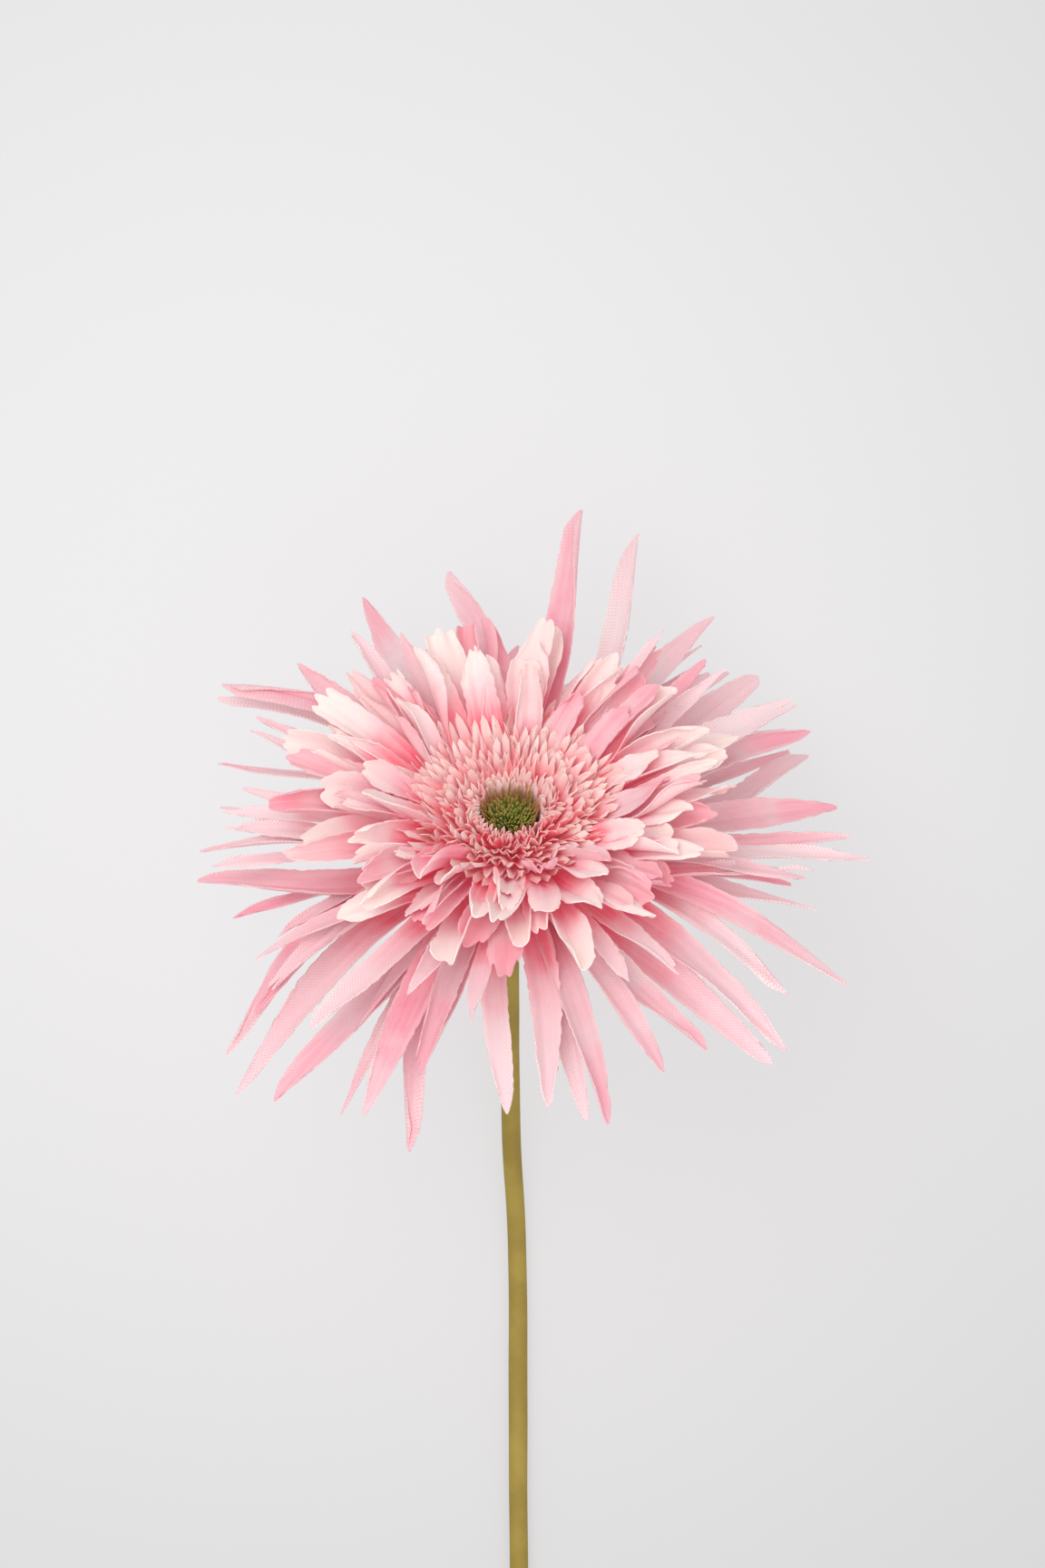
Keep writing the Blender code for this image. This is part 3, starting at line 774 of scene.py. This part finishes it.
def floret_curves(azimuth, rim_radius, rim_height, root_radius, reach):
    """Cubics that run outwards low down and rise to the rim, leaning a little more than the way there."""
    root = round_axis(azimuth, root_radius + 0 * azimuth, FRINGE_ROOT)
    across = (rim_radius - root_radius) * reach
    lift = (rim_height - FRINGE_ROOT) * reach
    tip = round_axis(azimuth, root_radius + across, FRINGE_ROOT + lift)
    first = round_axis(azimuth, root_radius + across * LEAVING, FRINGE_ROOT + lift * 0.25)
    back = np.hypot(across, lift) * LEAVING
    lean = np.clip(np.arctan2(lift, across) * LEAN_GAIN, FLORET_LEAN, STEEPEST_LEAN)
    second = round_axis(
        azimuth,
        root_radius + across - back * np.cos(lean),
        FRINGE_ROOT + lift - back * np.sin(lean),
    )
    return bezier_curve(np.stack((root, first, second, tip), 1))


def fringe(looks):
    """Each strip is as wide as its share of the rim and ends in three teeth."""
    rng = np.random.default_rng(FRINGE_SEED)
    for (name, rings), look in zip(FRINGE, looks):
        grids = []
        for rim_radius, rim_height, root_radius, count in rings:
            azimuth = np.arange(count) * 360.0 / count + rng.uniform(-3, 3, count)
            azimuth += rng.uniform(0, 360)
            reach = rng.uniform(0.86, 1.14, count)
            curve = floret_curves(azimuth, rim_radius, rim_height, root_radius, reach)
            width = 2 * math.pi * rim_radius / count * rng.uniform(1.0, 1.25, count)
            shape = {
                "root": 0.5,
                "belly": 0.8,
                "tip": rng.uniform(0.75, 0.95, count),
                "hold": 2.4,
                "point": rng.uniform(0.0, 0.1, count),
                "notch": rng.uniform(0.18, 0.4, count),
                "lobes": 3.0,
                "roll": rng.uniform(0.2, 0.6, count),
                "roll_tip": rng.uniform(-0.5, 0.9, count),
                "ruffle": rng.uniform(0.5, 1.0, count),
                "ruffles": rng.uniform(2.0, 3.6, count),
                "twist": rng.uniform(-0.25, 0.25, count),
                "lean": rng.uniform(-0.2, 0.2, count),
                "tone": rng.uniform(0, 0.65, count),
                "blush": np.clip(rng.normal(0.0, 0.14, count), 0, 0.5),
            }
            grids.append(petal_grid(curve, width, shape, rng, *FLORET_GRID))
        petal_piece(name, grids, FLORET_THICKNESS, look, [name], FLORET_UNDERSIDE_SHADE)


# Eye

EYE_RADIUS = 5.9
TUFT_COUNT = 260
GOLDEN_TURN = 137.508  # degrees
DISH_HEIGHT = -3.9
DISH_LIFT = 1.0
WALL_LIFT = 4.0
WALL_POWER = 9
RIM_POWER = 6  # how sharply the brown, thin filaments begin
EYE_ROOT_SHARE = 0.96  # the roots stand a little closer together than the tips
LEAN_OUT = (0.3, 0.7)  # how far the middle filaments lean out, and how much more the outer ones do
FILAMENT_WIDTH = 1.0
FILAMENT_THINNING = 0.45
FILAMENT_GRID = (6, 3)
FILAMENT_THICKNESS = 0.16
EYE_SEED = 5


def eye_tuft(look):
    """Short filaments set in a sunflower pattern on a shallow dish, leaning out towards its rim.

    The outer ones are thin and brown and stand up against the fringe by a high power of the radius.
    """
    rng = np.random.default_rng(EYE_SEED)
    order = (np.arange(TUFT_COUNT) + 0.5) / TUFT_COUNT
    radius = EYE_RADIUS * np.sqrt(order)
    azimuth = np.arange(TUFT_COUNT) * GOLDEN_TURN
    share = radius / EYE_RADIUS
    dish = DISH_HEIGHT + DISH_LIFT * share**2 + WALL_LIFT * share**WALL_POWER
    height = dish + rng.uniform(-0.5, 0.5, TUFT_COUNT)
    out = LEAN_OUT[0] + LEAN_OUT[1] * share
    root = round_axis(azimuth, radius * EYE_ROOT_SHARE, FRINGE_ROOT)
    tip = round_axis(azimuth + rng.uniform(-8, 8, TUFT_COUNT), radius + out * 0.8, height)
    first = root + round_axis(azimuth, 0.05 + 0 * azimuth, 0.5)
    second = tip - round_axis(azimuth, out * 0.4, 0.4)
    curve = bezier_curve(np.stack((root, first, second, tip), 1))
    shape = {
        "root": 1.6,
        "belly": 0.4,
        "tip": 0.35,
        "roll": 1.3,
        "roll_tip": 1.3,
        "tone": rng.uniform(0, 1, TUFT_COUNT),
        "blush": np.clip(share**RIM_POWER * rng.uniform(0.6, 1.6, TUFT_COUNT), 0, 1),
    }
    width = FILAMENT_WIDTH - FILAMENT_THINNING * share**RIM_POWER
    tuft = petal_grid(curve, width, shape, rng, *FILAMENT_GRID)
    petal_piece("eye", [tuft], FILAMENT_THICKNESS, look, ["eye"])


# Calyx

# Each layer of bracts: how many, their tips' radius and height, and the first one's direction.
BRACT_LAYERS = ((18, 12.9, -17.3, 0.0), (14, 10.4, -18.9, 8.0), (10, 7.2, -21.4, 15.0))
NECK_RADIUS = 3.0
NECK_STEP = 0.35  # each layer lies this much outside the one before
NECK_HEIGHT = -26.6
SHOULDER_HEIGHT = -23.0
SHOULDER_OUT = 0.8
BRACT_GRID = (14, 7)
BRACT_THICKNESS = 0.5
BRACT_OVERLAP = 2.6  # with 2, the bracts would just meet round the rim
CALYX_SEED = 71


def calyx_bracts(look):
    """Three layers of pointed bracts that leave the stem and open into a cup under the petals."""
    rng = np.random.default_rng(CALYX_SEED)
    grids = []
    for layer, (count, rim, height, start) in enumerate(BRACT_LAYERS):
        azimuth = start + np.arange(count) * 360.0 / count
        neck = NECK_RADIUS + NECK_STEP * layer
        root = round_axis(azimuth, neck + 0 * azimuth, NECK_HEIGHT)
        tip = round_axis(azimuth, rim * rng.uniform(0.95, 1.02, count), height)
        first = round_axis(azimuth, neck + SHOULDER_OUT + 0 * azimuth, SHOULDER_HEIGHT)
        second = tip - round_axis(azimuth, rim * 0.35 + 0 * azimuth, 1.2)
        curve = bezier_curve(np.stack((root, first, second, tip), 1))
        shape = {
            "root": 0.4,
            "belly": 0.5,
            "tip": 0.08,
            "hold": 1.6,
            "point": 0.12,
            "roll": 0.5,
            "roll_tip": 0.3,
            "fold": 0.15,
            "tone": rng.uniform(0, 1, count),
            "blush": rng.uniform(0, 0.4, count),
        }
        width = BRACT_OVERLAP * math.pi * rim / count
        grids.append(petal_grid(curve, width, shape, rng, *BRACT_GRID))
    petal_piece("calyx", grids, BRACT_THICKNESS, look, ["calyx"])


# Stem

STEM_SIDES = 36
STEM_STATIONS = 260
STEM_RADIUS = 2.15
STEM_SHARP = math.radians(50.0)
RING_CORNERS = 12  # of the frame stem's own rings
COAT_THICKNESS = 0.75
COAT_SLACK = 0.05  # leaves room for the coat's bumps
# Slow and quick swellings of the coat: size in mm, and radians along the whole stem.
SLOW_BUMP = (0.035, 39)
QUICK_BUMP = (0.025, 97)
BUMP_SKEW = 1.3  # radians by which the slow ones come earlier or later round the stem
BUMP_FADE = 60  # one over the share of the stem over which the bumps die out at its end
POLE_RADIUS = 0.02
TOP_RADII = (POLE_RADIUS, STEM_RADIUS - 0.3)
# The end's rings: the rounded rim, the coat's flat face, the wire's side and its domed face.
END_RADII = (STEM_RADIUS - 0.2, STEM_RADIUS - COAT_THICKNESS, 1.2, 1.1, 0.5, POLE_RADIUS)
END_OUT = (0.15, 0.15, 0.18, 0.9, 1.05, 1.08)


def smooth_route(points, count):
    """A cubic Hermite curve through the points, with slopes from their neighbours."""
    gone = np.concatenate(([0], np.cumsum(np.linalg.norm(np.diff(points, axis=0), axis=1))))
    slope = np.gradient(points, gone, axis=0)
    at = np.linspace(0, gone[-1], count)
    i = np.clip(np.searchsorted(gone, at) - 1, 0, len(gone) - 2)
    span = (gone[i + 1] - gone[i])[:, None]
    u = ((at - gone[i]) / span[:, 0])[:, None]
    return (
        points[i] * (2 * u**3 - 3 * u**2 + 1)
        + slope[i] * span * (u**3 - 2 * u**2 + u)
        + points[i + 1] * (3 * u**2 - 2 * u**3)
        + slope[i + 1] * span * (u**3 - u**2)
    )


def stem_tube(coat):
    """A tube along the frame stem's middle line. Its radius swells and shrinks slightly by slow sines,
    and its cut end steps in to the wire in its middle."""
    corners = np.array([v.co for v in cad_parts["stem"].data.vertices]) / MM
    corners = np.unique(corners.round(3), axis=0)
    corners = corners[np.argsort(-corners[:, 1])]
    rings = [corners[i : i + RING_CORNERS].mean(0) for i in range(0, len(corners), RING_CORNERS)]
    route = smooth_route(np.array(rings), STEM_STATIONS)
    ahead = np.gradient(route, axis=0)
    ahead /= np.linalg.norm(ahead, axis=1, keepdims=True)
    side = np.cross(ahead, (1.0, 0.0, 0.0))
    side /= np.linalg.norm(side, axis=1, keepdims=True)
    up = np.cross(side, ahead)
    gone = np.linspace(0, 1, STEM_STATIONS)[:, None]
    turn = np.linspace(0, 2 * np.pi, STEM_SIDES, endpoint=False)[None]
    slow = SLOW_BUMP[0] * np.sin(SLOW_BUMP[1] * gone + BUMP_SKEW * np.sin(2 * turn))
    bumps = slow + QUICK_BUMP[0] * np.sin(QUICK_BUMP[1] * gone + turn)
    radius = STEM_RADIUS - COAT_SLACK + bumps * np.clip((1 - gone) * BUMP_FADE, 0, 1)
    ring = np.cos(turn)[..., None] * side[:, None] + np.sin(turn)[..., None] * up[:, None]
    skin = route[:, None] + ring * radius[..., None]
    end_radius, end_out = np.array((END_RADII, END_OUT))[..., None, None]
    cap = route[-1] + ring[-1] * end_radius + ahead[-1] * end_out
    top = route[0] + ring[0] * np.array(TOP_RADII)[:, None, None]
    grid = np.concatenate((top, skin, cap))
    index = np.arange(grid.shape[0] * STEM_SIDES).reshape(-1, STEM_SIDES)
    a, b = index[:-1], index[1:]
    faces = np.stack((a, b, np.roll(b, -1, 1), np.roll(a, -1, 1)), -1).reshape(-1, 4)
    ends = np.stack((index[0], index[-1][::-1]))
    points = grid.reshape(-1, 3) * MM
    all_faces = faces.tolist() + ends.tolist()
    new_piece("stem", points, all_faces, coat, ["stem"], STEM_SHARP)


# Studio

# The brightest place on the table, the middle of a painted pool of light, and how far from it the glow
# stops falling, in metres.
GLOW_CENTRE = (-0.058, 0.202, 0.0)
GLOW_REACH = 0.45
GLOW_STRENGTH = 0.645
GLOW_NEAR = (0.955, 0.95, 0.96, 1.0)
GLOW_FAR = (0.565, 0.565, 0.56, 1.0)
TABLE_SIZE = 6.0
TABLE_GREY = (0.22, 0.218, 0.222, 1.0)
ROOM_LIGHT = 0.74
ROOM_WHITE = (1.0, 0.99, 0.985, 1.0)
# Each lamp: its place from the eye and its size, in metres, its power in watts and its tint.
LAMPS = (
    ("key", (-0.45, 0.35, 1.5), 1.2, 11.0, (1.0, 0.99, 0.98)),
    ("fill", (0.5, -1.0, 1.3), 1.4, 5.5, (1.0, 0.98, 0.98)),
)


def studio():
    """A pale table that glows softly from below and paints a soft pool of light round one place, a large
    key from the left and a weak fill.
    """
    scene = bpy.context.scene
    scene.view_settings.view_transform = "Standard"
    scene.world = bpy.data.worlds.new("studio")
    scene.world.use_nodes = True
    background = scene.world.node_tree.nodes["Background"]
    background.inputs["Color"].default_value = ROOM_WHITE
    background.inputs["Strength"].default_value = ROOM_LIGHT

    bpy.ops.mesh.primitive_plane_add(size=TABLE_SIZE)
    floor = bpy.context.object
    floor.name = "floor"
    paper, tree, shader = principled(
        "pale light table",
        0.95,
        Specular_IOR_Level=0.1,
        Base_Color=TABLE_GREY,
        Emission_Strength=GLOW_STRENGTH,
    )
    # Painted pool of light: the table's glow is brightest near GLOW_CENTRE and fades out towards
    # GLOW_REACH.
    place = add_node(tree, "ShaderNodeTexCoord").outputs["Object"]
    distance = add_node(tree, "ShaderNodeVectorMath", place, GLOW_CENTRE, operation="DISTANCE")
    away = ramped(tree, distance.outputs["Value"], 0.0, GLOW_REACH)
    glow = mixed(tree, away, GLOW_NEAR, GLOW_FAR)
    tree.links.new(glow, shader.inputs["Emission Color"])
    floor.data.materials.append(paper)

    for name, place, size, power, tint in LAMPS:
        light = bpy.data.lights.new(name, "AREA")
        light.shape = "DISK"
        light.size = size
        light.energy = power
        light.color = tint
        lamp = bpy.data.objects.new(name, light)
        lamp.location = EYE * MM + np.array(place)
        lamp.rotation_euler = Vector(place).to_track_quat("Z", "Y").to_euler()
        scene.collection.objects.link(lamp)

    lens = bpy.data.cameras.new("camera")
    lens.lens = SENSOR * CAMERA_DISTANCE / VIEW_HEIGHT
    camera = bpy.data.objects.new("camera", lens)
    camera.location = (EYE + (CAMERA_AIM[0], CAMERA_AIM[1], CAMERA_DISTANCE)) * MM
    scene.collection.objects.link(camera)
    scene.camera = camera


def main():
    """Mixes the looks and makes every piece and the studio."""
    group = dyed_cloth_group()
    long_look = petal_cloth(
        "long petal cloth",
        group,
        Root=DEEP_ROSE,
        Middle=PINK,
        Tip=PALE,
        Blush=ROSE,
        Root_hold=0.12,
        Root_reach=0.64,
        Weave=0.4,
    )
    mid_look = petal_cloth(
        "mid petal cloth",
        group,
        glow=0.1,
        Root=DEEP_ROSE,
        Middle=BLUSHED,
        Tip=CREAM,
        Blush=linear(240, 128, 156),
        Edge_share=0.12,
        Root_hold=0.2,
        Root_reach=0.78,
        Tip_start=0.48,
    )
    fringe_look = petal_cloth(
        "fringe cloth",
        group,
        nap=0.0,
        glow=0.08,
        Root=CORAL,
        Middle=SALMON,
        Tip=CREAM,
        Blush=CORAL,
        Edge_share=0.1,
        Root_reach=0.95,
        Tip_start=0.65,
        Streaks=0.1,
    )
    inner_look = petal_cloth(
        "inner fringe cloth",
        group,
        nap=0.0,
        glow=0.06,
        Root=MAROON,
        Middle=linear(248, 220, 212),
        Tip=CREAM,
        Blush=DEEP_ROSE,
        Edge_share=0.1,
        Root_reach=0.7,
        Tip_start=0.5,
        Streaks=0.1,
    )
    eye_look = petal_cloth(
        "eye tuft",
        group,
        nap=0.0,
        glow=0.0,
        # The nearly black roots are partly the tuft's own dark green and partly painted shade deep
        # between the filaments.
        Root=linear(40, 50, 12),
        Middle=linear(112, 128, 46),
        Tip=linear(190, 186, 92),
        Blush=linear(188, 124, 84),
        Edge_share=0.0,
        Root_reach=0.7,
        Streaks=0.0,
    )
    calyx_look = moulded_plastic("calyx plastic", linear(98, 112, 50), linear(128, 138, 66), 300.0)
    coat = moulded_plastic("stem coat", linear(146, 125, 50), linear(162, 142, 66), 90.0, 0.66)
    core = moulded_plastic("core plastic", linear(62, 70, 26), linear(84, 92, 36), 200.0)

    curves = long_petals(long_look)
    peeping_petals(curves, long_look)
    spare_petals(long_look)
    mid_petals(mid_look)
    fringe((inner_look, fringe_look, fringe_look, fringe_look))
    eye_tuft(eye_look)
    calyx_bracts(calyx_look)
    stem_tube(coat)
    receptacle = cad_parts["receptacle"]
    receptacle.data.materials.clear()
    receptacle.data.materials.append(core)
    studio()


main()
